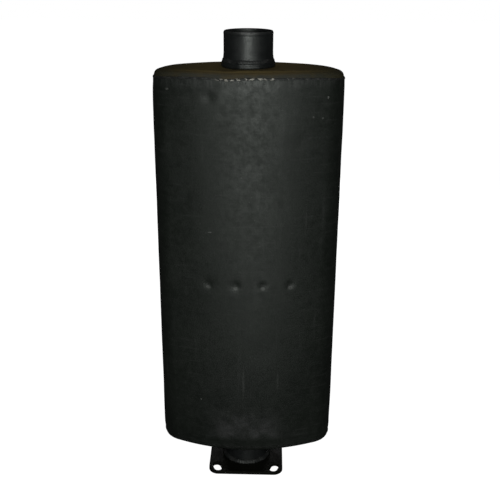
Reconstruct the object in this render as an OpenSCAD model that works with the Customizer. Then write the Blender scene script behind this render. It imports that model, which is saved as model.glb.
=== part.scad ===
// Oval exhaust silencer with a slotted square flange below and an open stub above.
// Millimetres, +Z up, +X to the right. The origin is the centre of the flange's underside.

/* [Body] */
// Radius of the oval's wide faces, front and back, in steps of 1.3
face_r = 266.5; // [261.3:1.3:270.4]
// Radius of the oval's narrow ends, in steps of 1.3
end_r = 36.4; // [33.8:1.3:39]
// Height of the lower edge of the shell above the flange's underside
shell_z = 47; // [44:1:56]
// Height of the sheet-metal shell
shell_h = 534; // [500:2:600]
// Thickness of the shell sheet, in steps of 0.13
shell_t = 1.56; // [1.3:0.13:1.95]
// Gap between the sheet's two edges, at the back, which the seam weld fills
seam_gap = 2; // [1:0.5:3]
// Width of the seam weld's crown
seam_w = 6; // [4:0.5:8]

/* [End caps] */
// Thickness of the pressed caps, in steps of 0.13
cap_t = 1.95; // [1.56:0.13:2.6]
// Outer radius of the cap's rounded edge, in steps of 0.13
knuckle_r = 5.98; // [5.2:0.13:7.8]
// Height of the cap's edge weld
rim_weld_h = 1.5; // [1:0.1:2.5]
// Depth of the cap's skirt inside the shell
skirt_h = 14; // [10:1:20]

/* [Pipes] */
// Outside diameter of both pipes
pipe_d = 63.5; // [60:0.5:66]
// Wall of both pipes
pipe_t = 2; // [1.5:0.1:2.6]
// How far the outlet pipe is opened out, in radius, at its free end
sized_by = 0.4; // [0.4:0.05:0.8]
// Height of the top of the outlet stub
stub_top = 635; // [629:1:670]
// Length of each pipe inside the body
pipe_inside = 40; // [30:1:60]
// Wall of the ring round each pipe's foot
collar_t = 2.5; // [2:0.1:3.5]
// Height of that ring
collar_h = 6.5; // [5:0.5:8]
// Height of the bead above the ring
collar_weld_h = 5; // [3:0.5:6]

/* [Flange] */
// Side of the square flange
flange_w = 110; // [106:1:120]
// Thickness of the flange
flange_t = 5; // [4:0.5:8]
// Corner radius of the flange
flange_r = 14; // [10:1:16]
// Distance between slot centres, both ways
slot_pitch = 85; // [83:0.5:86]
// Width of a slot
slot_w = 11.5; // [10:0.5:12]
// End-to-end length of a slot
slot_l = 19; // [14:0.5:19]
// Lean of a slot away from the side-to-side direction, in degrees
slot_turn = 70; // [60:1:90]
// Leg of the bead between pipe and flange
flange_weld_leg = 5; // [3:0.5:6]

/* [Inside] */
// Height of the middle baffle's plate
mid_z = 298; // [280:1:320]
// Height of the lower baffle's plate
low_z = 165; // [150:1:200]
// Height of the upper baffle's plate
top_z = 440; // [420:1:470]
// Thickness of the baffles, in steps of 0.13
baffle_t = 1.56; // [1.3:0.13:1.95]
// Height of the baffles' turned edges
baffle_h = 14; // [10:1:18]
// Wall of the perforated tubes, which slide over the pipes
tube_t = 1.2; // [1:0.1:1.5]
// Diameter of one perforation
perf_d = 6; // [4:0.5:8]
// Outside diameter of a crossover tube
cross_d = 44; // [38:1:46]
// Distance of a crossover tube from the middle
cross_x = 68; // [66:1:72]
// Length of a crossover tube
cross_l = 120; // [80:2:140]
// Diameter of the side holes in the lower and upper baffles
transfer_d = 30; // [20:1:36]

/* [Plug welds] */
// Number of plug welds on each face
plug_n = 4; // [2:1:5]
// Distance between plug welds
plug_pitch = 37; // [30:1:38]
// How far the row sits to the right of the middle
plug_shift = 4; // [0:1:8]
// Diameter of a plug weld
plug_d = 9; // [7:0.5:11]

/* [Hidden] */
$fn = 96;

// The oval is four arcs that meet smoothly: two wide ones, front and back, and two narrow ends.
// A wide arc's centre, an end arc's centre and the point where they meet lie on one line. It leans
// 5 across and 12 along in 13, so that with the steps above every joint has few decimals.
lean_x = 5 / 13;
lean_y = 12 / 13;
end_c = (face_r - end_r) * lean_x;                           // centre of an end arc, along X
face_c = (face_r - end_r) * lean_y;                          // centre of a wide arc, along Y
half_d = face_r - face_c;

shell_top = shell_z + shell_h;
cap_rise = rim_weld_h + knuckle_r;                           // from the shell's edge to the cap's face
top_face = shell_top + cap_rise;
low_face = shell_z - cap_rise;
pipe_r = pipe_d / 2;                                         // inlet pipe, and the outlet's free end
neck_r = pipe_r - sized_by;                                  // outlet pipe, below its free end
collar_r = pipe_r + collar_t;
plug_z = mid_z + baffle_h / 2;
tube_end_low = low_face + pipe_inside - 25;                  // the tubes overlap the pipes by 25
tube_end_top = top_face - pipe_inside + 25;

BLACK = [0.10, 0.11, 0.105];
BROWN = [0.22, 0.18, 0.12];
WELD = [0.32, 0.32, 0.31];
INSIDE = [0.45, 0.42, 0.38];

// The oval's outline, moved inwards by inset. Both kinds of arc keep their centres.
module oval(inset = 0) {
    big = face_r - inset;
    small = end_r - inset;
    join_x = big * lean_x;
    intersection() {
        translate([0, -face_c]) circle(big, $fn = 720);
        translate([0, face_c]) circle(big, $fn = 720);
        square([2 * join_x, 2 * half_d], center = true);
    }
    for (side = [-1, 1]) {
        intersection() {
            translate([side * end_c, 0]) circle(small);
            translate([side * (join_x + end_r), 0]) square([2 * end_r, 2 * half_d], center = true);
        }
    }
}

// Sweeps a profile round the oval. In the profile, x runs inwards from the shell's outer face.
module round_oval() {
    reach = 2 * end_r;
    tall = 4 * skirt_h;
    for (side = [-1, 1]) {
        intersection() {
            translate([0, -side * face_c, 0])
                rotate_extrude($fn = 720) translate([face_r, 0]) mirror([1, 0]) children();
            translate([0, -side * face_c, -tall / 2]) linear_extrude(tall)
                polygon([[0, 0], [face_r * 0.5, side * face_r * 1.2], [-face_r * 0.5, side * face_r * 1.2]]);
        }
        intersection() {
            translate([side * end_c, 0, 0])
                rotate_extrude() translate([end_r, 0]) mirror([1, 0]) children();
            translate([side * end_c, 0, -tall / 2]) linear_extrude(tall)
                polygon([[0, 0], [side * reach * 0.5, -reach * 1.2], [side * reach * 2, 0],
                    [side * reach * 0.5, reach * 1.2]]);
        }
    }
}

module ring(outer, inner, h) {
    rotate_extrude() translate([inner, 0]) square([outer - inner, h]);
}

// A pressed cap with its face at z = 0 and its skirt below, open for a pipe of radius r.
module cap(r) {
    bend = knuckle_r - cap_t;
    difference() {
        translate([0, 0, -cap_t]) linear_extrude(cap_t) oval(shell_t + knuckle_r);
        translate([0, 0, -2 * cap_t]) cylinder(r = r, h = 3 * cap_t);
    }
    round_oval() {
        translate([shell_t, -cap_rise - skirt_h]) square([cap_t, skirt_h + rim_weld_h]);
        translate([shell_t + knuckle_r, -knuckle_r]) {
            intersection() {
                difference() {
                    circle(knuckle_r);
                    circle(bend);
                }
                translate([-knuckle_r, 0]) square(knuckle_r);
            }
        }
    }
}

// The bead along a cap's edge, on top of the shell's edge and against the cap.
module rim_bead() {
    round_oval() polygon([
        [0, 0], [shell_t, 0], [shell_t, rim_weld_h], [0.5, rim_weld_h * 0.8], [0, rim_weld_h * 0.4]]);
}

// A tapered fillet bead round a pipe of radius r, standing on something at z = 0.
module pipe_bead(r, reach, h) {
    rotate_extrude() polygon([[r, 0], [r + reach, 0], [r + reach * 0.62, h * 0.55], [r, h]]);
}

module baffle(z, turned_up) {
    translate([0, 0, z]) {
        difference() {
            union() {
                linear_extrude(baffle_t) oval(shell_t);
                translate([0, 0, turned_up ? 0 : baffle_t - baffle_h]) linear_extrude(baffle_h) difference() {
                    oval(shell_t);
                    oval(shell_t + baffle_t);
                }
            }
            translate([0, 0, -1]) children();
        }
    }
}

// Rows of radial holes through the wall of a tube of inner radius r, between two heights.
module perforations(r, z0, z1) {
    rows = floor((z1 - z0) / 22);
    for (row = [0 : rows - 1], turn = [0 : 7]) {
        rotate([0, 0, turn * 45 + (row % 2) * 22.5])
            translate([r - tube_t, 0, z0 + (row + 0.5) * (z1 - z0) / rows])
                rotate([0, 90, 0]) cylinder(d = perf_d, h = 3 * tube_t, $fn = 24);
    }
}

// A pressed cup that closes a tube of inner radius r; its closed end is at z = 0.
module tube_cup(r) {
    cup_h = 12;
    difference() {
        cylinder(r = r, h = cup_h);
        translate([0, 0, baffle_t]) cylinder(r = r - baffle_t, h = cup_h);
    }
}

module crossover_tube() {
    translate([0, 0, mid_z + baffle_t / 2 - cross_l / 2]) ring(cross_d / 2, cross_d / 2 - tube_t, cross_l);
}

// Places its child on a face's surface at each plug weld, with +Y pointing out of the sheet.
module at_plugs() {
    for (i = [0 : plug_n - 1]) {
        x = plug_shift + (i - (plug_n - 1) / 2) * plug_pitch;
        translate([0, -face_c, plug_z]) rotate([0, 0, -asin(x / face_r)]) children();
    }
}

module plug_holes() {
    at_plugs() rotate([-90, 0, 0]) translate([0, 0, face_r - 2 * shell_t])
        cylinder(d = plug_d, h = 4 * shell_t);
}

// A weld pool that fills the hole and stops a little below the sheet's outer face.
module plug_pools() {
    at_plugs() {
        intersection() {
            rotate([-90, 0, 0]) translate([0, 0, face_r - 2 * shell_t]) cylinder(d = plug_d, h = 4 * shell_t);
            translate([0, 0, -plug_d]) ring(face_r - 0.4, face_r - shell_t, 2 * plug_d, $fn = 360);
        }
    }
}

// The front is -Y. The back row is the front one turned half round, mirrored to keep its shift.
module front_face() { mirror([0, 1, 0]) children(); }

module shell() {
    color(BLACK) difference() {
        translate([0, 0, shell_z]) linear_extrude(shell_h) difference() {
            oval();
            oval(shell_t);
        }
        front_face() plug_holes();
        plug_holes();
        translate([-seam_gap / 2, 0, shell_z - 1]) cube([seam_gap, 2 * half_d, shell_h + 2]);
    }
}

module shell_seam_weld() {
    crown = 0.8;
    color(WELD) translate([0, half_d, shell_z]) linear_extrude(shell_h) polygon([
        [-seam_gap / 2, -shell_t], [seam_gap / 2, -shell_t], [seam_gap / 2, 0], [seam_w / 2, 0],
        [seam_w / 4, crown * 0.8], [0, crown], [-seam_w / 4, crown * 0.8], [-seam_w / 2, 0],
        [-seam_gap / 2, 0]]);
}

module top_cap() { color(BROWN) translate([0, 0, top_face]) cap(neck_r); }
module top_cap_weld() { color(WELD) translate([0, 0, shell_top]) rim_bead(); }
module bottom_cap() { color(BLACK) translate([0, 0, low_face]) mirror([0, 0, 1]) cap(pipe_r); }
module bottom_cap_weld() { color(WELD) translate([0, 0, shell_z]) mirror([0, 0, 1]) rim_bead(); }

// The free end is opened out to the pipe's stated diameter, from just above the bead to the lip.
module outlet_pipe() {
    lip = 1;
    foot = top_face - pipe_inside;
    bead_top = top_face + collar_h + collar_weld_h;
    sized_z = bead_top + 2 * sized_by;
    color(BLACK) rotate_extrude() polygon([
        [neck_r - pipe_t, foot], [neck_r, foot], [neck_r, bead_top], [pipe_r, sized_z],
        [pipe_r, stub_top - lip], [pipe_r - lip, stub_top], [pipe_r - pipe_t, stub_top],
        [pipe_r - pipe_t, sized_z], [neck_r - pipe_t, bead_top]]);
}

module outlet_collar() { color(BLACK) translate([0, 0, top_face]) ring(collar_r, neck_r, collar_h); }
module outlet_weld() {
    color(WELD) translate([0, 0, top_face + collar_h]) pipe_bead(neck_r, collar_r - neck_r, collar_weld_h);
}

module inlet_pipe() { color(BLACK) ring(pipe_r, pipe_r - pipe_t, low_face + pipe_inside); }
module inlet_collar() {
    color(BLACK) translate([0, 0, low_face - collar_h]) ring(collar_r, pipe_r, collar_h);
}
module inlet_weld() {
    color(WELD) translate([0, 0, low_face - collar_h]) mirror([0, 0, 1])
        pipe_bead(pipe_r, collar_t, collar_weld_h);
}

module inlet_flange() {
    corner = flange_w / 2 - flange_r;
    half_slot = (slot_l - slot_w) / 2;
    color(BLACK) linear_extrude(flange_t) difference() {
        union() {
            square([flange_w, flange_w - 2 * flange_r], center = true);
            square([flange_w - 2 * flange_r, flange_w], center = true);
            for (sx = [-1, 1], sy = [-1, 1]) translate([sx * corner, sy * corner]) circle(flange_r);
        }
        circle(pipe_r);
        for (sx = [-1, 1], sy = [-1, 1]) {
            translate([sx, sy] * slot_pitch / 2) rotate(-sx * sy * slot_turn) {
                square([2 * half_slot, slot_w], center = true);
                for (end = [-1, 1]) translate([end * half_slot, 0]) circle(d = slot_w);
            }
        }
    }
}

module flange_weld() {
    color(WELD) translate([0, 0, flange_t]) pipe_bead(pipe_r, flange_weld_leg, flange_weld_leg);
}

module transfer_holes() {
    for (side = [-1, 1]) translate([side * cross_x, 0, 0]) cylinder(d = transfer_d, h = 3 * baffle_t);
}

module lower_baffle() {
    color(INSIDE) baffle(low_z, true) {
        cylinder(r = pipe_r + tube_t, h = 3 * baffle_t);
        transfer_holes();
    }
}

module middle_baffle() {
    color(INSIDE) baffle(mid_z, true)
        for (side = [-1, 1]) translate([side * cross_x, 0, 0]) cylinder(d = cross_d, h = 3 * baffle_t);
}

module upper_baffle() {
    color(INSIDE) baffle(top_z, false) {
        cylinder(r = neck_r + tube_t, h = 3 * baffle_t);
        transfer_holes();
    }
}

module inlet_tube() {
    color(INSIDE) difference() {
        translate([0, 0, tube_end_low]) ring(pipe_r + tube_t, pipe_r, mid_z - tube_end_low);
        perforations(pipe_r, low_z + 20, mid_z - 15);
    }
}

module outlet_tube() {
    foot = mid_z + baffle_t;
    color(INSIDE) difference() {
        translate([0, 0, foot]) ring(neck_r + tube_t, neck_r, tube_end_top - foot);
        perforations(neck_r, foot + 15, top_z - 20);
    }
}

module inlet_tube_plug() { color(INSIDE) translate([0, 0, mid_z]) mirror([0, 0, 1]) tube_cup(pipe_r); }
module outlet_tube_plug() { color(INSIDE) translate([0, 0, mid_z + baffle_t]) tube_cup(neck_r); }
module crossover_tube_left() { color(INSIDE) translate([-cross_x, 0, 0]) crossover_tube(); }
module crossover_tube_right() { color(INSIDE) translate([cross_x, 0, 0]) crossover_tube(); }

// A small square-sided bead round a tube of the given radius.
module tube_bead(r) {
    bead = 2;
    rotate_extrude() polygon([[r, 0], [r + bead, 0], [r, bead]]);
}

module crossover_welds() {
    color(WELD) for (side = [-1, 1])
        translate([side * cross_x, 0, mid_z + baffle_t]) tube_bead(cross_d / 2);
}

module tube_welds() {
    color(WELD) {
        translate([0, 0, low_z + baffle_t]) tube_bead(pipe_r + tube_t);
        translate([0, 0, top_z + baffle_t]) tube_bead(neck_r + tube_t);
    }
}

module plug_welds_front() { color(WELD) front_face() plug_pools(); }
module plug_welds_back() { color(WELD) plug_pools(); }

shell();
shell_seam_weld();
top_cap();
top_cap_weld();
bottom_cap();
bottom_cap_weld();
outlet_pipe();
outlet_collar();
outlet_weld();
inlet_pipe();
inlet_collar();
inlet_weld();
inlet_flange();
flange_weld();
lower_baffle();
middle_baffle();
upper_baffle();
inlet_tube();
outlet_tube();
inlet_tube_plug();
outlet_tube_plug();
crossover_tube_left();
crossover_tube_right();
crossover_welds();
tube_welds();
plug_welds_front();
plug_welds_back();
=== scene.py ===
"""Oval exhaust silencer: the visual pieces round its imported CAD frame. Metres, +Z up, -Y is the front."""
import math
import random

import bmesh
import bpy
import numpy as np
from mathutils import Matrix, Vector, noise


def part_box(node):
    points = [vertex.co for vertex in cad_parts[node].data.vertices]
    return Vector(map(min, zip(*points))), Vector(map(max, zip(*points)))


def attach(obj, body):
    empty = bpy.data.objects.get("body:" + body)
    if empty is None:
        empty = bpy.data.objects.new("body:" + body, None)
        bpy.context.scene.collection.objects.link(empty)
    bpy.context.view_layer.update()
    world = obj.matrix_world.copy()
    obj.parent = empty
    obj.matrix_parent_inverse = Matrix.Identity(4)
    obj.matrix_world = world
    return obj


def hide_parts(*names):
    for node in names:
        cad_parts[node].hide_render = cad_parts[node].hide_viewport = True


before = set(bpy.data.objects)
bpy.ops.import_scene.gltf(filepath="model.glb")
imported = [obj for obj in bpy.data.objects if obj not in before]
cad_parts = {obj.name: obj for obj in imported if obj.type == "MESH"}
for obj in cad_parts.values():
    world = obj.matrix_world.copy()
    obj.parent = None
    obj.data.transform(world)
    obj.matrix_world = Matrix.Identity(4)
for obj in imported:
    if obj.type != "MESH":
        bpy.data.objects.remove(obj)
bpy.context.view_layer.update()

MM = 0.001

# ---------------------------------------------------------------- sizes, from the frame
shell_low, shell_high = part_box("shell")
SHELL_Z0 = shell_low.z
SHELL_Z1 = shell_high.z
HALF_W = shell_high.x
TOP_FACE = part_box("top_cap")[1].z
LOW_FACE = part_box("bottom_cap")[0].z
STUB_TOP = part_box("outlet_pipe")[1].z
STUB_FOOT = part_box("outlet_pipe")[0].z
INLET_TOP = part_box("inlet_pipe")[1].z
PIPE_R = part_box("inlet_pipe")[1].x
COLLAR_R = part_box("outlet_collar")[1].x
COLLAR_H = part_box("outlet_collar")[1].z - TOP_FACE
COLLAR_WELD_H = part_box("outlet_weld")[1].z - TOP_FACE - COLLAR_H
COLLAR_TOP = COLLAR_H + 0.45 * COLLAR_WELD_H  # the ring reaches part of the way up its bead
PIPE_BEAD_H = 0.85 * COLLAR_WELD_H
PIPE_BEAD_REACH = COLLAR_R - PIPE_R
FLANGE_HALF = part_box("inlet_flange")[1].x
FLANGE_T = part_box("inlet_flange")[1].z
FLANGE_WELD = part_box("flange_weld")[1].x - PIPE_R
PLUG_Z = (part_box("plug_welds_front")[0].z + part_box("plug_welds_front")[1].z) / 2

# ---------------------------------------------------------------- sizes that no box gives
# They are the part's own. The oval is four arcs that meet on lines leaning 5 across and 12 along.
FACE_R = 0.2665
END_R = 0.0364
END_C = (FACE_R - END_R) * 5 / 13
FACE_C = (FACE_R - END_R) * 12 / 13
MEET = math.atan2(12, 5)
SHELL_T = 1.56 * MM
CAP_T = 1.95 * MM
KNUCKLE = 5.98 * MM
PIPE_T = 2 * MM
# The plug welds of one row: their number, and their spacing and shift to the right in mm
PLUG_N = 4
PLUG_PITCH = 37
PLUG_SHIFT = 4
PLUG_X = [(PLUG_SHIFT + (i - (PLUG_N - 1) / 2) * PLUG_PITCH) * MM for i in range(PLUG_N)]
PLUG_R = 4.5 * MM
# A slot's centre, half the distance between its two round ends, their radius, and its lean
SLOT_AT = 42.5 * MM
SLOT_HALF = 3.75 * MM
SLOT_R = 5.75 * MM
SLOT_TURN = math.radians(70)
FLANGE_R = 14 * MM

# ---------------------------------------------------------------- mesh helpers


def smooth(t):
    """0 below 0, 1 above 1, and smooth between."""
    t = np.clip(t, 0, 1)
    return t * t * (3 - 2 * t)


def wave(points, scale, seed):
    """Smooth noise from about -1 to 1 at each point."""
    shift = Vector((seed * 7.31, seed * 3.17, seed * 5.77))
    values = [noise.noise(Vector(p) * scale + shift) for p in points.reshape(-1, 3)]
    return np.array(values).reshape(points.shape[:-1])


def new_object(name, verts, faces, material):
    """A mesh piece that rides on the root body, with its normals turned outwards."""
    mesh = bpy.data.meshes.new(name)
    mesh.from_pydata([tuple(v) for v in verts], [], faces)
    work = bmesh.new()
    work.from_mesh(mesh)
    bmesh.ops.recalc_face_normals(work, faces=work.faces)
    work.to_mesh(mesh)
    work.free()
    mesh.shade_smooth()
    obj = bpy.data.objects.new(name, mesh)
    bpy.context.scene.collection.objects.link(obj)
    mesh.materials.append(material)
    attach(obj, "root")
    return obj


def loft(name, rings, material, close_rows=True):
    """Joins rings of points (rows, columns, 3). Columns close round the piece. Rows close round its
    section too, or else the first and last ring are capped."""
    rows, cols = rings.shape[:2]
    last = rows if close_rows else rows - 1
    faces = []
    for r in range(last):
        below = r * cols
        above = ((r + 1) % rows) * cols
        for c in range(cols):
            d = (c + 1) % cols
            faces.append((below + c, below + d, above + d, above + c))
    if not close_rows:
        faces.append(tuple(range(cols - 1, -1, -1)))
        faces.append(tuple(range((rows - 1) * cols, rows * cols)))
    return new_object(name, rings.reshape(-1, 3), faces, material)


class Oval:
    """The shell's outline as columns: each has an arc centre, a radius and an outward direction."""

    def __init__(self, wide_step, end_step):
        arcs = [
            (END_C, 0, END_R, -MEET, MEET, end_step),
            (0, -FACE_C, FACE_R, MEET, math.pi - MEET, wide_step),
            (-END_C, 0, END_R, math.pi - MEET, math.pi + MEET, end_step),
            (0, FACE_C, FACE_R, math.pi + MEET, 2 * math.pi - MEET, wide_step),
        ]
        centres, radii, angles = [], [], []
        for x, y, radius, start, stop, step in arcs:
            count = max(8, round(radius * (stop - start) / step))
            for t in np.linspace(start, stop, count, endpoint=False):
                centres.append((x, y))
                radii.append(radius)
                angles.append(t)
        self.centre = np.array(centres)
        self.radius = np.array(radii)
        self.out = np.stack([np.cos(angles), np.sin(angles)], 1)
        edge = self.at(0)
        step = np.linalg.norm(np.roll(edge, -1, 0) - edge, axis=1)
        self.run = np.concatenate([[0], np.cumsum(step)[:-1]])

    def at(self, inset):
        """The outline moved inwards by inset, one (x, y) for each column."""
        return self.centre + self.out * (self.radius - inset)[:, None]

    def ring(self, inset, z):
        flat = self.at(inset)
        return np.column_stack([flat, np.full(len(flat), z)])


def oval_skin(oval, section):
    """Rings of points for a section of (inset, z) pairs swept round the oval."""
    return np.stack([oval.ring(inset, z) for inset, z in section])


def push_out(rings, oval, amount):
    """Moves each point along its column's outward direction. amount is (rows, columns)."""
    rings[..., 0] += amount * oval.out[:, 0]
    rings[..., 1] += amount * oval.out[:, 1]


def circle_rings(section, count):
    """Rings of points for a section of (radius, z) pairs turned about Z."""
    turn = np.linspace(0, 2 * math.pi, count, endpoint=False)
    x, y = np.cos(turn), np.sin(turn)
    return np.stack([np.column_stack([r * x, r * y, np.full(count, z)]) for r, z in section])


def steps(stops, spacing):
    """Values from the first stop to the last. spacing gives the step size after each stop."""
    out = []
    for (a, b), s in zip(zip(stops, stops[1:]), spacing):
        out += list(np.linspace(a, b, max(1, round(abs(b - a) / s)), endpoint=False))
    return out + [stops[-1]]


# ---------------------------------------------------------------- materials


# The paint's sheen leans slightly to green.
SHEEN = (0.94, 1.0, 0.94, 1.0)

# A Mix node's colour sockets
MIX_A = 6
MIX_B = 7
MIX_RESULT = 2


class Shader:
    """Builds a Principled material from procedural masks. Each method adds nodes and returns a socket."""

    def __init__(self, name):
        self.material = bpy.data.materials.new(name)
        self.material.use_nodes = True
        self.tree = self.material.node_tree
        self.bsdf = self.tree.nodes["Principled BSDF"]
        self.place = self.add("ShaderNodeTexCoord").outputs["Object"]

    def add(self, kind, **settings):
        made = self.tree.nodes.new(kind)
        for key, value in settings.items():
            setattr(made, key, value)
        return made

    def join(self, source, target):
        if isinstance(source, (int, float, tuple, list)):
            target.default_value = source
        else:
            self.tree.links.new(source, target)

    def stretched(self, scale):
        mapping = self.add("ShaderNodeMapping")
        self.join(self.place, mapping.inputs["Vector"])
        mapping.inputs["Scale"].default_value = scale
        return mapping.outputs["Vector"]

    def noise(self, scale, detail=3.0, rough=0.55, stretch=None):
        tex = self.add("ShaderNodeTexNoise")
        self.join(self.stretched(stretch) if stretch else self.place, tex.inputs["Vector"])
        tex.inputs["Scale"].default_value = scale
        tex.inputs["Detail"].default_value = detail
        tex.inputs["Roughness"].default_value = rough
        return tex.outputs["Fac"]

    def cells(self, scale):
        tex = self.add("ShaderNodeTexVoronoi")
        self.join(self.place, tex.inputs["Vector"])
        tex.inputs["Scale"].default_value = scale
        return tex.outputs["Distance"], tex.outputs["Color"]

    def ramp(self, value, low, high, to_low=0.0, to_high=1.0):
        made = self.add("ShaderNodeMapRange", interpolation_type="SMOOTHSTEP")
        self.join(value, made.inputs["Value"])
        made.inputs["From Min"].default_value = low
        made.inputs["From Max"].default_value = high
        made.inputs["To Min"].default_value = to_low
        made.inputs["To Max"].default_value = to_high
        return made.outputs["Result"]

    def math(self, operation, a, b):
        made = self.add("ShaderNodeMath", operation=operation)
        self.join(a, made.inputs[0])
        self.join(b, made.inputs[1])
        return made.outputs[0]

    def blend(self, factor, a, b):
        made = self.add("ShaderNodeMix", data_type="RGBA")
        self.join(factor, made.inputs["Factor"])
        self.join(a, made.inputs[MIX_A])
        self.join(b, made.inputs[MIX_B])
        return made.outputs[MIX_RESULT]

    def axis(self, index):
        made = self.add("ShaderNodeSeparateXYZ")
        self.join(self.place, made.inputs[0])
        return made.outputs[index]

    def bump(self, height, strength, distance, under=None):
        made = self.add("ShaderNodeBump")
        made.inputs["Strength"].default_value = strength
        made.inputs["Distance"].default_value = distance
        self.join(height, made.inputs["Height"])
        if under is not None:
            self.join(under, made.inputs["Normal"])
        return made.outputs["Normal"]

    def finish(self, color, roughness, normal, specular=0.5, metallic=0.0):
        self.join(color, self.bsdf.inputs["Base Color"])
        self.join(roughness, self.bsdf.inputs["Roughness"])
        self.join(normal, self.bsdf.inputs["Normal"])
        self.bsdf.inputs["Specular IOR Level"].default_value = specular
        self.bsdf.inputs["Specular Tint"].default_value = SHEEN
        self.bsdf.inputs["Metallic"].default_value = metallic
        return self.material


def rgb(r, g, b):
    return (r, g, b, 1.0)


def paint(name, dark, light, dust, roughness, specks=0.8, dust_amount=0.5, specular=0.5, extra=None):
    """Matt sprayed paint: mottled tone and gloss, streaks across and down, dust, and a fine grain.
    extra(shader, color) may add marks of its own."""
    s = Shader(name)
    cloud = s.ramp(s.noise(9.0, 6.0, 0.68), 0.35, 0.68)
    color = s.blend(cloud, dark, light)
    rolled = s.noise(1.0, 4.0, 0.6, stretch=(20, 20, 330))
    color = s.blend(s.ramp(rolled, 0.55, 0.75, 0.0, 0.40 * dust_amount), color, dust)
    run = s.noise(1.0, 4.0, 0.6, stretch=(150, 150, 9))
    color = s.blend(s.ramp(run, 0.58, 0.80, 0.0, 0.50 * dust_amount), color, dust)
    near, pick = s.cells(150)
    spot = s.math("MULTIPLY", s.ramp(near, 0.16, 0.07), s.ramp(pick, specks, specks + 0.02))
    color = s.blend(s.math("MULTIPLY", spot, 0.8 * dust_amount), color, dust)
    rubbed = s.ramp(s.noise(38.0, 6.0, 0.75), 0.60, 0.72)
    zone = s.ramp(s.noise(6.0, 2.0), 0.45, 0.62)
    scuff = s.math("MULTIPLY", rubbed, zone)
    color = s.blend(s.math("MULTIPLY", scuff, 0.6 * dust_amount), color, dust)
    if extra:
        color = extra(s, color)
    broad = s.ramp(s.noise(13.0, 5.0, 0.65), 0.3, 0.7, -0.06, 0.06)
    local = s.ramp(s.noise(110.0, 5.0, 0.7), 0.3, 0.7, roughness - 0.09, roughness + 0.09)
    rough = s.math("ADD", broad, local)
    peel = s.bump(s.noise(150.0, 4.0, 0.65), 0.46, 0.35 * MM)
    grain = s.bump(s.noise(900.0, 3.0, 0.6), 0.35, 0.10 * MM, under=peel)
    return s.finish(color, rough, grain, specular)


# Tones of the marks on the paint, and of the painted highlights and the painted reflection
SCUFF_AND_HIGHLIGHT_TONE = rgb(0.15, 0.155, 0.145)
SCALE_TONE = rgb(0.055, 0.058, 0.055)
FLOOR_REFLECTION_TONE = rgb(0.090, 0.090, 0.092)
OVERSPRAY = rgb(0.050, 0.052, 0.044)
CAP_END_TONE = rgb(0.030, 0.029, 0.015)
LIP_WEAR_AND_HIGHLIGHT_TONE = rgb(0.030, 0.032, 0.031)
LIP_HIGHLIGHT_TONE = rgb(0.17, 0.175, 0.17)

# x, z, half width, half height and strength of the small pale scuffs on the front, and of the painted
# highlights on the plug-weld dents
SCUFFS_AND_HIGHLIGHTS = [
    (0.102, 0.557, 1.2 * MM, 1.7 * MM, 0.9),
    (0.084, 0.533, 1.3 * MM, 1.3 * MM, 0.7),
    (0.096, 0.531, 1.2 * MM, 1.2 * MM, 0.7),
    (-0.102, 0.566, 2.4 * MM, 1.2 * MM, 0.5),
    (-0.049, 0.380, 2.6 * MM, 0.8 * MM, 0.9),
    (-0.065, 0.123, 1.1 * MM, 1.1 * MM, 0.9),
    (-0.0036, 0.154, 1.7 * MM, 24 * MM, 0.16),
    (0.045, 0.158, 1.5 * MM, 14 * MM, 0.13),
# Painted highlights: a pale patch on the lower lip of each plug-weld dent
] + [(x, PLUG_Z - 4.2 * MM, 3.4 * MM, 2.4 * MM, 0.42) for x in PLUG_X]


def scuffed_and_highlighted(s, color):
    """Small pale scuffs and painted highlights, each a soft-edged ellipse on the front."""
    x, z = s.axis(0), s.axis(2)
    front = s.ramp(s.axis(1), 0.0, -0.01)
    ragged = s.ramp(s.noise(420.0, 4.0, 0.6), 0.3, 0.6, 0.35, 1.0)
    for at_x, at_z, half_w, half_h, strength in SCUFFS_AND_HIGHLIGHTS:
        across = s.math("DIVIDE", s.math("SUBTRACT", x, at_x), half_w)
        along = s.math("DIVIDE", s.math("SUBTRACT", z, at_z), half_h)
        away = s.math("ADD", s.math("MULTIPLY", across, across), s.math("MULTIPLY", along, along))
        mask = s.math("MULTIPLY", s.ramp(away, 1.6, 0.2, 0.0, strength), s.math("MULTIPLY", ragged, front))
        color = s.blend(mask, color, SCUFF_AND_HIGHLIGHT_TONE)
    return color


def body_marks(s, color):
    """Marks of the shell: scuffs, painted highlights under the plug-weld dents, a weld-scaled band under the
    top edge and a painted reflection of the floor near the foot.
    """
    x, z = s.axis(0), s.axis(2)
    color = scuffed_and_highlighted(s, color)
    band = s.ramp(z, SHELL_Z1 - 0.016, SHELL_Z1 - 0.004)
    scale = s.ramp(s.noise(1.0, 4.0, 0.65, stretch=(210, 210, 40)), 0.42, 0.66)
    scaled = s.math("MULTIPLY", s.math("MULTIPLY", band, scale), 0.55)
    color = s.blend(scaled, color, SCALE_TONE)
    # Painted reflection of the floor: a pale patch low on the front middle, broken up by noise
    starts = s.ramp(z, SHELL_Z0 + 0.010, SHELL_Z0 + 0.022)
    ends = s.ramp(z, SHELL_Z0 + 0.075, SHELL_Z0 + 0.030)
    low = s.math("MULTIPLY", starts, ends)
    side = s.ramp(s.math("ABSOLUTE", x, 0.0), 0.066, 0.012)
    reflection_breakup = s.ramp(s.noise(34.0, 6.0, 0.7), 0.36, 0.66, 0.15, 1.0)
    floor_reflection = s.math("MULTIPLY", s.math("MULTIPLY", low, side), reflection_breakup)
    return s.blend(s.math("MULTIPLY", floor_reflection, 0.6), color, FLOOR_REFLECTION_TONE)


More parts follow.
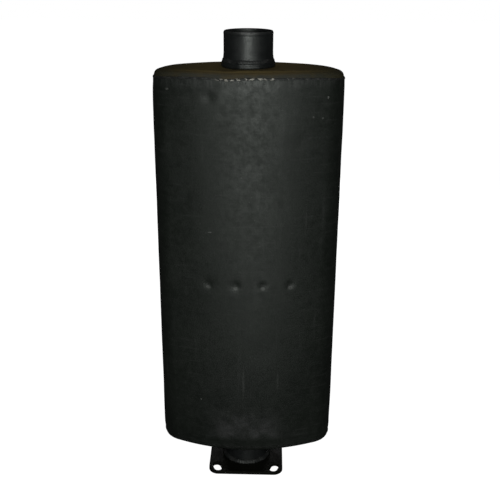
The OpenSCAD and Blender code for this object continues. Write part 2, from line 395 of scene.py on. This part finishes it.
def cap_marks(s, color):
    """Dark overspray on the cap's rounded edge, and a darker tone towards its ends."""
    x, z = s.axis(0), s.axis(2)
    patchy = s.ramp(s.noise(45.0, 5.0, 0.7), 0.35, 0.65, 0.55, 1.0)
    edge = s.math("MULTIPLY", s.ramp(z, TOP_FACE + 0.0006, TOP_FACE - 0.0035), patchy)
    color = s.blend(edge, color, OVERSPRAY)
    ends = s.ramp(s.math("ABSOLUTE", x, 0.0), 0.045, 0.118, 0.0, 0.75)
    return s.blend(ends, color, CAP_END_TONE)


def lip_wear_and_highlight(s, color):
    """Lighter worn paint on the stub's rounded lip, also standing in part for the lip's highlight, and a
    painted highlight at its front.
    """
    # Worn paint that partly stands for the lip's highlight: lighter near the top all round
    near_top = s.ramp(s.axis(2), STUB_TOP - 0.0030, STUB_TOP - 0.0012)
    wear_and_highlight = s.math("MULTIPLY", near_top, s.ramp(s.noise(160.0), 0.3, 0.6))
    color = s.blend(s.math("MULTIPLY", wear_and_highlight, 0.5), color, LIP_WEAR_AND_HIGHLIGHT_TONE)
    # Painted highlight: a pale patch at the front middle of the lip
    middle = s.ramp(s.math("ABSOLUTE", s.axis(0), 0.0), 0.016, 0.002)
    front = s.math("MULTIPLY", middle, s.ramp(s.axis(1), 0.0, -0.02))
    return s.blend(s.math("MULTIPLY", wear_and_highlight, front), color, LIP_HIGHLIGHT_TONE)


# Middle of the stretch in front where a weld is chipped, and how much of the chipping shows elsewhere
CHIPS_X = 0.009
CHIPS_ELSEWHERE = 0.06


def weld_paint(name, dark, chip, chip_from):
    """Painted weld of uneven tone, with bare chips where a mask of noise is high, mostly at the front."""
    s = Shader(name)
    tone = s.blend(s.ramp(s.noise(120.0, 4.0), 0.35, 0.7), dark, rgb(0.030, 0.031, 0.030))
    bare = s.ramp(s.noise(210.0, 3.0, 0.5), chip_from, chip_from + 0.06)
    across = s.math("ABSOLUTE", s.math("SUBTRACT", s.axis(0), CHIPS_X), 0.0)
    front = s.math("MULTIPLY", s.ramp(across, 0.052, 0.040), s.ramp(s.axis(1), 0.0, -0.04))
    bare = s.math("MULTIPLY", bare, s.math("MAXIMUM", front, CHIPS_ELSEWHERE))
    color = s.blend(bare, tone, chip)
    rough = s.ramp(s.noise(90.0, 3.0), 0.3, 0.7, 0.42, 0.60)
    lumps = s.bump(s.noise(520.0, 4.0, 0.6), 0.6, 0.25 * MM)
    return s.finish(color, rough, lumps)


def steel(name):
    """Bare heat-stained tube and baffle steel inside the body."""
    s = Shader(name)
    tone = s.blend(s.ramp(s.noise(22.0, 5.0, 0.6), 0.3, 0.7), rgb(0.16, 0.145, 0.13), rgb(0.30, 0.28, 0.26))
    soot = s.ramp(s.noise(11.0, 6.0, 0.7), 0.45, 0.65)
    tone = s.blend(s.math("MULTIPLY", soot, 0.75), tone, rgb(0.03, 0.026, 0.022))
    rough = s.ramp(s.noise(60.0, 4.0), 0.3, 0.7, 0.38, 0.6)
    lines = s.bump(s.noise(1.0, 3.0, 0.6, stretch=(300, 300, 1600)), 0.3, 0.05 * MM)
    return s.finish(tone, rough, lines, metallic=0.8)


# Each paint has its dark tone, its light tone, its dust and its roughness.
DUST = rgb(0.060, 0.062, 0.060)
# Painted shade: the plate's dust is darkened to stand for the shade under the body
CAP_DUST = rgb(0.16, 0.13, 0.066)
SHADED_PLATE_DUST = rgb(0.012, 0.010, 0.008)
BODY = paint("body_paint", rgb(0.0058, 0.0083, 0.0060), rgb(0.0110, 0.0142, 0.0108), DUST, 0.54,
             specular=0.6, extra=body_marks)
CAP = paint("cap_paint", rgb(0.081, 0.060, 0.024), rgb(0.119, 0.091, 0.036), CAP_DUST, 0.75,
            specks=0.72, specular=0.1, extra=cap_marks)
PIPE = paint("pipe_paint", rgb(0.006, 0.0075, 0.008), rgb(0.010, 0.0115, 0.012), DUST, 0.49,
             specks=0.9, dust_amount=0.2, specular=0.75, extra=lip_wear_and_highlight)
# Painted shade: the plate's paint is darker than the body's to stand for the shade under the body
SHADED_PLATE = paint("shaded_plate_paint", rgb(0.0045, 0.0046, 0.0034), rgb(0.0075, 0.0075, 0.0055), SHADED_PLATE_DUST, 0.60,
              specks=0.9, dust_amount=0.2, specular=0.08)
RIM_WELD = weld_paint("rim_weld_paint", rgb(0.014, 0.015, 0.014), rgb(0.38, 0.37, 0.32), 0.52)
LOW_WELD = weld_paint("low_weld_paint", rgb(0.010, 0.011, 0.010), rgb(0.05, 0.05, 0.048), 0.60)
PIPE_WELD = weld_paint("pipe_weld_paint", rgb(0.012, 0.013, 0.013), rgb(0.09, 0.09, 0.085), 0.62)
STEEL = steel("inner_steel")

# ---------------------------------------------------------------- shell

DENT = 1.5 * MM       # depth of the sheet's dents at the plug welds
DENT_R = 5.7 * MM
CALM_R = 13 * MM      # the sheet doesn't sag within this of a plug weld
DROOP = 4.4 * MM      # how far the top edge sinks at the oval's ends
FACE_DROOP = 0.7      # share of that sinking which the cap's face takes
LOW_RISE = 2.8 * MM   # how far the bottom edge lifts towards the ends
DIP = 1.7 * MM        # one dip in the top edge, in front
DIP_X = -0.027
DIP_WIDTH = 0.016
LEAN_IN = 1.1 * MM    # how far the left end leans inwards at the top


def droop(points):
    """How far the top edge sinks towards the oval's two ends, and at one spot left of the middle in front."""
    x = points[..., 0]
    dip = DIP * np.exp(-(((x - DIP_X) / DIP_WIDTH) ** 2)) * smooth(-points[..., 1] / 0.04)
    return DROOP * (np.abs(x) / HALF_W) ** 4 + dip


def rise(points):
    """How far the bottom edge lifts between the middle and the oval's two ends."""
    share = np.abs(points[..., 0]) / HALF_W
    return LOW_RISE * share ** 2 * (1 - np.clip(share, 0, 1) ** 8)


def drawn_in(points):
    """How far the shell's left end leans inwards near its top edge. Shell, cap and bead share it."""
    near_top = np.exp(-(((points[..., 2] - SHELL_Z1) / 0.020) ** 2))
    return LEAN_IN * near_top * smooth(-(points[..., 0] + 0.085) / 0.035)


def plug_dents(rings, face):
    """How far the sheet is drawn in round each plug weld. face is -1 for the front, 1 for the back."""
    depth = np.zeros(rings.shape[:2])
    for x in PLUG_X:
        away = np.hypot(rings[..., 0] - x, rings[..., 2] - PLUG_Z)
        depth += np.where(rings[..., 1] * face > 0, DENT * np.exp(-((away / DENT_R) ** 2)), 0)
    return depth


def calm(rings):
    """0 at the plug welds and 1 well away from them: the sheet is true where it was clamped and welded."""
    near = np.zeros(rings.shape[:2])
    for x in PLUG_X:
        away = np.hypot(rings[..., 0] - x, rings[..., 2] - PLUG_Z)
        near = np.maximum(near, np.exp(-((away / CALM_R) ** 4)))
    return 1 - near


# Depth, scale and seed of each wave in the sheet
SAG = [(0.40 * MM, 11.0, 1), (0.22 * MM, 31.0, 2), (0.05 * MM, 95.0, 7)]

# x, z, radius and depth of the knocks on the front
KNOCKS = [
    (-0.048, 0.5575, 0.0075, 1.15 * MM),
    (0.071, 0.500, 0.010, 0.4 * MM),
    (-0.083, 0.430, 0.016, 0.5 * MM),
    (0.030, 0.210, 0.022, 0.4 * MM),
]


def dings(rings, places):
    """Shallow round dings. places holds (x, z, radius, depth) on the front."""
    depth = np.zeros(rings.shape[:2])
    for x, z, radius, deep in places:
        away = np.hypot(rings[..., 0] - x, rings[..., 2] - z)
        depth += np.where(rings[..., 1] < 0, deep * np.exp(-((away / radius) ** 2)), 0)
    return depth


def make_shell():
    """The sheet with its dents, sag and knocks, drawn in along both edges where the welds shrank it."""
    oval = Oval(1.4 * MM, 2.2 * MM)
    stops = [SHELL_Z0, SHELL_Z0 + 0.018, PLUG_Z - 0.020, PLUG_Z + 0.020,
             SHELL_Z1 - 0.090, SHELL_Z1 - 0.030, SHELL_Z1]
    z_rows = steps(stops, [1.5 * MM, 4.5 * MM, 1.3 * MM, 4.5 * MM, 3.0 * MM, 1.4 * MM])
    outer = oval_skin(oval, [(0, z) for z in z_rows])
    from_top = SHELL_Z1 - outer[..., 2]
    from_foot = outer[..., 2] - SHELL_Z0
    sag = sum(deep * wave(outer, scale, seed) for deep, scale, seed in SAG)
    rough_top = 0.09 * MM * wave(outer, 62.0, 4) * (1 - smooth((from_top - 20 * MM) / (70 * MM)))
    hammered = (0.5 + 0.5 * wave(outer * np.array([1, 1, 0.25]), 150.0, 3)) * 0.42 * MM
    shrunk = (0.20 * MM + hammered) * (1 - smooth(from_top / (15 * MM)))
    crimped = 1.0 * MM * (1 - smooth(from_foot / (15 * MM)))
    knocks = dings(outer, KNOCKS)
    inwards = plug_dents(outer, -1) + plug_dents(outer, 1) + shrunk + crimped + knocks + drawn_in(outer)
    push_out(outer, oval, sag * calm(outer) * smooth(from_foot / (20 * MM)) + rough_top - inwards)
    outer[..., 2] -= droop(outer) * (1 - smooth(from_top / (60 * MM)))
    outer[..., 2] += rise(outer) * (1 - smooth(from_foot / (40 * MM)))
    inner = oval_skin(oval, [(SHELL_T, z) for z in np.linspace(SHELL_Z1, SHELL_Z0, 14)])
    push_out(inner, oval, -drawn_in(inner))
    inner[..., 2] += rise(inner) * (1 - smooth((inner[..., 2] - SHELL_Z0) / (40 * MM)))
    inner[..., 2] -= droop(inner) * (1 - smooth((SHELL_Z1 - inner[..., 2]) / (60 * MM)))
    shell = loft("shell_sheet", np.concatenate([outer, inner]), BODY)
    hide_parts("shell")


POOL_DOME = 0.14 * MM
POOL_DOME_R = 2.3 * MM
POOL_SINK = 0.35 * MM
POOL_SINK_FROM = 2.4 * MM
POOL_ROUGH = 0.05 * MM


def make_plug_pools(name, face):
    """Low, rough weld pools at the bottoms of the plug-weld dents, all in one piece. Their edges sink
    below the sheet."""
    verts, faces = [], []
    rings, spokes = 8, 24
    for x in PLUG_X:
        lean = math.asin(x / FACE_R)
        out = Vector((math.sin(lean), face * math.cos(lean), 0))
        side = Vector((math.cos(lean), -face * math.sin(lean), 0))
        foot = Vector((0, -face * FACE_C, PLUG_Z)) + out * (FACE_R - SHELL_T)
        first = len(verts)
        verts.append(foot)
        for k in range(rings):
            radius = PLUG_R * 0.96 * (1 - k / rings)
            floor = SHELL_T - DENT * math.exp(-((radius / DENT_R) ** 2))
            dome = POOL_DOME * math.exp(-((radius / POOL_DOME_R) ** 2)) - 0.05 * MM
            dome -= POOL_SINK * float(smooth((radius - POOL_SINK_FROM) / (1.4 * MM)))
            for j in range(spokes):
                turn = 2 * math.pi * j / spokes
                spot = foot + side * (radius * math.cos(turn)) + Vector((0, 0, radius * math.sin(turn)))
                rough = POOL_ROUGH * noise.noise(spot * 500)
                verts.append(spot + out * (max(0.02 * MM, floor + dome) + rough))
        verts.append(foot + out * (SHELL_T - DENT + 0.10 * MM))
        for j in range(spokes):
            d = (j + 1) % spokes
            faces.append((first, first + 1 + d, first + 1 + j))
            for k in range(rings - 1):
                a = first + 1 + k * spokes
                faces.append((a + j, a + d, a + spokes + d, a + spokes + j))
            a = first + 1 + (rings - 1) * spokes
            faces.append((a + j, a + d, first + 1 + rings * spokes))
    pools = new_object(name, verts, faces, BODY)
    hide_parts(name.replace("pools", "welds"))


# ---------------------------------------------------------------- end caps and their welds

# Distance from one ripple to the next in each kind of weld
RIM_RIPPLE = 3.1 * MM
PIPE_RIPPLE = 3.4 * MM
SEAM_RIPPLE = 3.3 * MM


def make_cap(name, node, face_z, up, crown, material):
    """A pressed cap: crowned face, rounded edge and skirt. up is 1 for the top cap and -1 for the other."""
    oval = Oval(2.4 * MM, 1.8 * MM)
    edge = SHELL_T + KNUCKLE
    shell_edge = SHELL_Z1 if up > 0 else SHELL_Z0
    skirt_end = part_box(node)[0].z if up > 0 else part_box(node)[1].z
    turn = np.arctan2(oval.at(edge)[:, 1], oval.at(edge)[:, 0])
    hole = np.column_stack([np.cos(turn), np.sin(turn)]) * (PIPE_R - 0.2 * MM)
    shares = np.linspace(0, 1, 26)
    rows = []
    for share in shares:
        flat = hole + (oval.at(edge) - hole) * share
        lift = crown * (1 - share ** 14)
        rows.append(np.column_stack([flat, np.full(len(flat), face_z) + up * lift]))
    face = np.stack(rows)
    face[..., 2] += up * 0.30 * MM * wave(face, 32.0, 8) * smooth(shares / 0.3)[:, None]
    bend = []
    for a in np.linspace(90, 0, 9)[1:]:
        inset = edge - KNUCKLE * math.cos(math.radians(a))
        bend.append((inset, face_z - up * KNUCKLE * (1 - math.sin(math.radians(a)))))
    outside = oval_skin(oval, bend + [(SHELL_T, shell_edge), (SHELL_T, skirt_end)])
    inside = oval_skin(oval, [(SHELL_T + CAP_T, skirt_end), (SHELL_T + CAP_T, face_z - up * KNUCKLE),
                              (edge, face_z - up * CAP_T)])
    back_row = np.column_stack([hole, np.full(len(hole), face_z - up * CAP_T)])[None]
    rings = np.concatenate([face, outside, inside, back_row])
    if up > 0:
        push_out(rings, oval, -drawn_in(rings))
        height = smooth((rings[..., 2] - shell_edge) / (face_z - shell_edge))
        rings[..., 2] -= droop(rings) * (1 - (1 - FACE_DROOP) * height)
    else:
        rings[..., 2] += rise(rings)
    cap = loft(name, rings, material)
    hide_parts(node)


def make_rim_bead(name, node, edge_z, up, material, seed):
    """The weld between a cap and the shell's edge: lumpy, rippled, and nearly flush with the sheet."""
    oval = Oval(0.8 * MM, 0.8 * MM)
    section = [(0.50, -0.7), (-0.02, -0.5), (0.00, 0.2), (0.16, 0.8), (0.55, 1.4), (1.05, 1.75), (1.50, 1.9),
               (1.66, 1.8), (1.66, 0.0), (0.9, -0.7)]
    rings = oval_skin(oval, [(i * MM, edge_z + up * h * MM) for i, h in section])
    middle = oval_skin(oval, [(1.3 * MM, edge_z + up * 0.2 * MM)] * len(section))
    lag = np.arange(len(section))[:, None] * 0.35
    ripple = np.cos(2 * math.pi * oval.run[None, :] / RIM_RIPPLE + lag)
    size = 1.0 + 0.05 * ripple + 0.22 * wave(middle[:1], 130.0, seed) + 0.10 * wave(middle[:1], 420.0, seed)
    shown = np.array([0, 0.7, 1, 1, 1, 1, 0.6, 0.2, 0, 0])[:, None]
    rings = middle + (rings - middle) * (1 + (size - 1) * shown)[..., None]
    if up > 0:
        push_out(rings, oval, -drawn_in(rings))
        rings[..., 2] -= droop(rings)
    else:
        push_out(rings, oval, -0.9 * MM * shown)
        rings[..., 2] += rise(rings)
    bead = loft(name, rings, material)
    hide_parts(node)


# ---------------------------------------------------------------- pipes


# The outlet's rolled lip, from outside to inside: mm beyond the pipe's wall and mm below its top
LIP = [(-0.15, 4.4), (0.10, 3.9), (0.30, 3.4), (0.20, 2.7), (0.0, 1.9), (-0.25, 1.1), (-0.60, 0.45),
       (-1.0, 0.1), (-1.3, 0.0), (-1.7, 0.25), (-1.9, 0.8)]
FLARE = 0.7 * MM


def make_pipe(name, node, foot, top, open_top):
    """A pipe stub. An open top has a rolled lip, and the wall flares a little at its bead."""
    inner = PIPE_R - PIPE_T
    section = [(PIPE_R, z) for z in np.linspace(foot, top - 5.4 * MM, 40)]
    if open_top:
        bead_top = TOP_FACE + COLLAR_H + COLLAR_WELD_H
        section = [(r + FLARE * math.exp(-((z - bead_top) / (5 * MM)) ** 2), z) for r, z in section]
        section += [(PIPE_R + r * MM, top - down * MM) for r, down in LIP]
    else:
        section += [(PIPE_R, top), (inner, top)]
    section += [(inner, z) for z in np.linspace(top - 4 * MM, foot, 12)]
    rings = circle_rings(section, 120)
    radius = np.hypot(rings[..., 0], rings[..., 1])[..., None]
    swell = 0.10 * MM * wave(rings, 24.0, 5)[..., None]
    rings[..., :2] *= 1 + swell / radius
    pipe = loft(name, rings, PIPE)
    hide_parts(node)


# The fat lower band and the groove of a ring: mm beyond its wall and mm above its foot
RING_BAND = [(0.0, 1.6), (0.40, 2.8), (0.55, 3.6), (0.50, 4.6), (0.20, 5.5), (0.0, 6.0), (0.20, 6.5)]


def make_collar(name, node, foot, up, sink):
    """The ring round a pipe's foot: a fat lower band, a groove, and a plain upper band up to the weld."""
    top = COLLAR_TOP
    section = [(PIPE_R, -sink), (COLLAR_R, -sink)] + [(COLLAR_R + r * MM, h * MM) for r, h in RING_BAND]
    section += [(COLLAR_R + 0.25 * MM, top - 0.8 * MM), (COLLAR_R - 0.3 * MM, top), (PIPE_R, top)]
    rings = circle_rings([(r, foot + up * h) for r, h in section], 160)
    radius = np.hypot(rings[..., 0], rings[..., 1])[..., None]
    uneven = (0.20 * MM * wave(rings, 90.0, 6) + blob(rings, foot + up * 5 * MM, 0.5 * MM))[..., None]
    outer = np.array([0] + [1] * (len(section) - 2) + [0])[:, None, None]
    rings[..., :2] *= 1 + uneven * outer / radius
    collar = loft(name, rings, PIPE)
    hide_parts(node)


def blob(rings, z, height):
    """The lump of extra weld at the front left of the outlet's foot."""
    away = np.hypot(rings[..., 0] + 11 * MM, rings[..., 2] - z)
    return np.where(rings[..., 1] < 0, height * np.exp(-((away / (4 * MM)) ** 2)), 0)


def make_pipe_bead(name, node, foot, up, reach, high, seed, material):
    """A rippled fillet weld between a pipe and the face at foot. The outlet's has a lump in front."""
    section = [(0.0, 0.0), (0.84, 0.0), (0.80, 0.22), (0.66, 0.50), (0.46, 0.74), (0.26, 0.92),
               (0.08, 1.0), (0.0, 1.0)]
    count = 300
    rings = circle_rings([(PIPE_R + a * reach, foot + up * b * high) for a, b in section], count)
    root = circle_rings([(PIPE_R, foot)] * len(section), count)
    turn = np.linspace(0, 2 * math.pi, count, endpoint=False)[None, :]
    stitches = round(2 * math.pi * PIPE_R / PIPE_RIPPLE)
    ripple = 0.5 + 0.5 * np.cos(turn * stitches + np.arange(len(section))[:, None] * 0.5)
    size = 0.97 + 0.09 * ripple + 0.20 * wave(root[:1], 95.0, seed)
    shown = np.array([0, 0.6, 1, 1, 1, 1, 0.6, 0])[:, None]
    rings = root + (rings - root) * (1 + (size - 1) * shown)[..., None]
    radius = np.hypot(rings[..., 0], rings[..., 1])[..., None]
    if foot > TOP_FACE:
        rings[..., :2] *= 1 + blob(rings, foot + 1 * MM, 0.9 * MM)[..., None] * shown[..., None] / radius
    bead = loft(name, rings, material)
    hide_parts(node)


# ---------------------------------------------------------------- flange and back seam


def arc(x, y, radius, start, stop, count):
    return [(x + radius * math.cos(t), y + radius * math.sin(t)) for t in np.linspace(start, stop, count)]


def make_flange():
    """The slotted plate, cut from a filled outline with its edges slightly rounded."""
    bevel = 0.7 * MM
    curve = bpy.data.curves.new("flange_outline", "CURVE")
    curve.dimensions = "2D"
    curve.fill_mode = "BOTH"
    curve.extrude = FLANGE_T / 2 - bevel
    curve.bevel_depth = bevel
    curve.bevel_resolution = 3
    curve.offset = -bevel
    corner = FLANGE_HALF - FLANGE_R
    quarter = math.pi / 2
    outline = []
    for k, (sx, sy) in enumerate([(1, 1), (-1, 1), (-1, -1), (1, -1)]):
        outline += arc(sx * corner, sy * corner, FLANGE_R, k * quarter, (k + 1) * quarter, 14)
    loops = [outline, arc(0, 0, PIPE_R, 0, 2 * math.pi * 71 / 72, 72)]
    for sx in (-1, 1):
        for sy in (-1, 1):
            lean = -sx * sy * SLOT_TURN
            dx, dy = SLOT_HALF * math.cos(lean), SLOT_HALF * math.sin(lean)
            x, y = sx * SLOT_AT, sy * SLOT_AT
            loops.append(
                arc(x + dx, y + dy, SLOT_R, lean - quarter, lean + quarter, 18)
                + arc(x - dx, y - dy, SLOT_R, lean + quarter, lean + 3 * quarter, 18)
            )
    for loop in loops:
        spline = curve.splines.new("POLY")
        spline.points.add(len(loop) - 1)
        for point, (x, y) in zip(spline.points, loop):
            point.co = (x, y, 0, 1)
        spline.use_cyclic_u = True
    maker = bpy.data.objects.new("flange_maker", curve)
    bpy.context.scene.collection.objects.link(maker)
    bpy.context.view_layer.update()
    mesh = bpy.data.meshes.new_from_object(maker.evaluated_get(bpy.context.evaluated_depsgraph_get()))
    verts = [Vector((v.co.x, v.co.y, v.co.z + FLANGE_T / 2)) for v in mesh.vertices]
    faces = [tuple(p.vertices) for p in mesh.polygons]
    bpy.data.objects.remove(maker)
    plate = new_object("flange_plate", verts, faces, SHADED_PLATE)
    work = bmesh.new()
    work.from_mesh(plate.data)
    bmesh.ops.remove_doubles(work, verts=work.verts, dist=1e-6)
    bmesh.ops.recalc_face_normals(work, faces=work.faces)
    work.to_mesh(plate.data)
    work.free()
    plate.data.set_sharp_from_angle(angle=math.radians(30))
    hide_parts("inlet_flange")


def make_back_seam():
    """The long butt weld down the back of the shell."""
    half_d = FACE_R - FACE_C
    rows = np.arange(SHELL_Z0 + 0.4 * MM, SHELL_Z1 - 0.4 * MM, 0.9 * MM)
    section = [(-1.0, -1.4), (-1.0, -0.3), (-3.0, -0.25), (-2.2, 0.45), (-1.0, 0.85), (0.0, 0.95),
               (1.0, 0.85), (2.2, 0.45), (3.0, -0.25), (1.0, -0.3), (1.0, -1.4)]
    rings = np.zeros((len(rows), len(section), 3))
    for k, (x, y) in enumerate(section):
        rings[:, k, 0] = x * MM
        rings[:, k, 1] = half_d + y * MM
        rings[:, k, 2] = rows
    crest = np.array([0, 0, 0.7, 1, 1, 1, 1, 1, 0.7, 0, 0])[None, :]
    lag = np.abs(rings[..., 0]) * 700
    ripple = np.cos(2 * math.pi * rows[:, None] / SEAM_RIPPLE + lag)
    weave = wave(rings * np.array([0, 0, 1]), 55.0, 9)
    rings[..., 1] -= crest * (0.18 * MM - 0.12 * MM * ripple)
    rings[..., 0] += crest * 0.35 * MM * weave
    seam = loft("shell_seam_bead", rings, RIM_WELD, close_rows=False)
    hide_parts("shell_seam_weld")


SPATTER_N = 46
SPATTER_FALL = 22 * MM


def make_spatter():
    """Beads of weld spatter stuck to the front of the sheet, thickest near its top edge."""
    rng = random.Random(4)
    verts, faces = [], []
    ball = bmesh.new()
    bmesh.ops.create_icosphere(ball, subdivisions=2, radius=1)
    shape = [v.co.copy() for v in ball.verts]
    links = [tuple(v.index for v in f.verts) for f in ball.faces]
    ball.free()
    for _ in range(SPATTER_N):
        x = rng.uniform(-0.095, 0.095)
        fall = rng.random() ** 2 * SPATTER_FALL
        size = rng.uniform(0.25, 0.55) * MM
        face_y = FACE_C - math.sqrt(FACE_R ** 2 - x * x)
        middle = Vector((x, face_y + 0.45 * MM, SHELL_Z1 - 3 * MM - fall))
        first = len(verts)
        verts += [middle + Vector((c.x * size, c.y * size * 0.8, c.z * size)) for c in shape]
        faces += [tuple(first + i for i in f) for f in links]
    new_object("weld_spatter", verts, faces, RIM_WELD)


make_shell()
make_plug_pools("plug_pools_front", -1)
make_plug_pools("plug_pools_back", 1)
make_cap("top_cap_pressing", "top_cap", TOP_FACE, 1, 2.2 * MM, CAP)
make_cap("bottom_cap_pressing", "bottom_cap", LOW_FACE, -1, 1.2 * MM, BODY)
make_rim_bead("top_rim_bead", "top_cap_weld", SHELL_Z1, 1, RIM_WELD, 11)
make_rim_bead("bottom_rim_bead", "bottom_cap_weld", SHELL_Z0, -1, LOW_WELD, 12)
make_pipe("outlet_stub", "outlet_pipe", STUB_FOOT, STUB_TOP, True)
make_pipe("inlet_stub", "inlet_pipe", 0.0, INLET_TOP, False)
make_collar("outlet_ring", "outlet_collar", TOP_FACE, 1, 0.5 * MM)
make_collar("inlet_ring", "inlet_collar", LOW_FACE, -1, 0.5 * MM)
make_pipe_bead("outlet_bead", "outlet_weld", TOP_FACE + COLLAR_TOP, 1, PIPE_BEAD_REACH, PIPE_BEAD_H, 13,
               PIPE_WELD)
make_pipe_bead("inlet_bead", "inlet_weld", LOW_FACE - COLLAR_TOP, -1, PIPE_BEAD_REACH, PIPE_BEAD_H, 14,
               PIPE_WELD)
make_pipe_bead("flange_bead", "flange_weld", FLANGE_T, 1, FLANGE_WELD, FLANGE_WELD, 15, PIPE_WELD)
make_flange()
make_back_seam()
make_spatter()

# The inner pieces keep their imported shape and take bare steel.
INNER = ["lower_baffle", "middle_baffle", "upper_baffle", "inlet_tube", "outlet_tube", "inlet_tube_plug",
         "outlet_tube_plug", "crossover_tube_left", "crossover_tube_right", "crossover_welds", "tube_welds"]
for node in INNER:
    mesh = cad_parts[node].data
    mesh.materials.clear()
    mesh.materials.append(STEEL)

# ---------------------------------------------------------------- stage, light and camera


FLOOR_HALF = 8.0


def make_floor():
    """A white floor that glows evenly and lights nothing, so that no edge or shadow shows on it."""
    mesh = bpy.data.meshes.new("floor")
    a = FLOOR_HALF
    mesh.from_pydata([(-a, -a, 0), (a, -a, 0), (a, a, 0), (-a, a, 0)], [], [(0, 1, 2, 3)])
    floor = bpy.data.objects.new("floor", mesh)
    bpy.context.scene.collection.objects.link(floor)
    floor.location.z = -0.5 * MM
    material = bpy.data.materials.new("floor_white")
    material.use_nodes = True
    bsdf = material.node_tree.nodes["Principled BSDF"]
    bsdf.inputs["Base Color"].default_value = rgb(0.30, 0.30, 0.30)
    bsdf.inputs["Roughness"].default_value = 0.9
    bsdf.inputs["Emission Color"].default_value = rgb(1, 1, 1)
    bsdf.inputs["Emission Strength"].default_value = 1.0
    mesh.materials.append(material)
    floor.visible_glossy = False
    floor.visible_diffuse = False


def area_light(name, place, target, width, height, power):
    """A rectangle of light at place that faces target. The camera doesn't see it."""
    data = bpy.data.lights.new(name, "AREA")
    data.shape = "RECTANGLE"
    data.size = width
    data.size_y = height
    data.energy = power
    light = bpy.data.objects.new(name, data)
    light.location = place
    light.rotation_euler = (Vector(target) - Vector(place)).to_track_quat("-Z", "Y").to_euler()
    light.visible_camera = False
    bpy.context.scene.collection.objects.link(light)


def make_world():
    """White where the camera sees it, and nearly dark for all other rays."""
    world = bpy.data.worlds.new("studio")
    world.use_nodes = True
    tree = world.node_tree
    back = tree.nodes["Background"]
    back.inputs["Color"].default_value = rgb(1, 1, 1)
    rays = tree.nodes.new("ShaderNodeLightPath")
    level = tree.nodes.new("ShaderNodeMapRange")
    tree.links.new(rays.outputs["Is Camera Ray"], level.inputs["Value"])
    level.inputs["To Min"].default_value = 0.02
    level.inputs["To Max"].default_value = 1.0
    tree.links.new(level.outputs["Result"], back.inputs["Strength"])
    bpy.context.scene.world = world


CAMERA_AT = (0.0289, -1.0288, 0.7290)
CAMERA_LENS = 56.55
# Angles in radians: below the level, about the upright, and about the line of sight
CAMERA_DOWN = 0.3639
CAMERA_TURN = 0.0247
CAMERA_ROLL = 0.0056


def make_camera():
    """Stands in front, a little above the silencer's top, and looks down at it."""
    data = bpy.data.cameras.new("camera")
    data.sensor_width = 36
    data.lens = CAMERA_LENS
    data.clip_start = 0.01
    data.clip_end = 50
    camera = bpy.data.objects.new("camera", data)
    turn = Matrix.Rotation(CAMERA_TURN, 4, "Z")
    tip = Matrix.Rotation(math.pi / 2 - CAMERA_DOWN, 4, "X")
    roll = Matrix.Rotation(CAMERA_ROLL, 4, "Z")
    camera.matrix_world = Matrix.Translation(CAMERA_AT) @ turn @ tip @ roll
    bpy.context.scene.collection.objects.link(camera)
    bpy.context.scene.camera = camera


# name, place, target, width, height and watts
LIGHTS = [
    ("key", (0.00, -1.35, 0.45), (0, 0, 0.45), 0.58, 0.62, 5.0),
    ("high", (0.06, -1.25, 1.00), (0, 0, 0.55), 0.30, 0.30, 2.5),
    ("left", (-0.42, -1.25, 0.75), (0, 0, 0.55), 0.35, 0.35, 0.15),
    ("right", (0.60, -1.10, 0.85), (0, 0, 0.55), 0.35, 0.35, 0.75),
    ("low", (0.08, -0.75, 0.02), (0.08, -0.74, 1.0), 0.40, 0.50, 0.5),
    ("top", (0.0, 0.3, 1.9), (0, 0, 0.5), 0.9, 0.9, 2.3),
    ("back", (0.0, 1.6, 0.30), (0, 0, 0.30), 0.7, 0.5, 3.0),
]

make_floor()
make_world()
for light in LIGHTS:
    area_light(*light)
make_camera()
bpy.context.scene.view_settings.view_transform = "Standard"
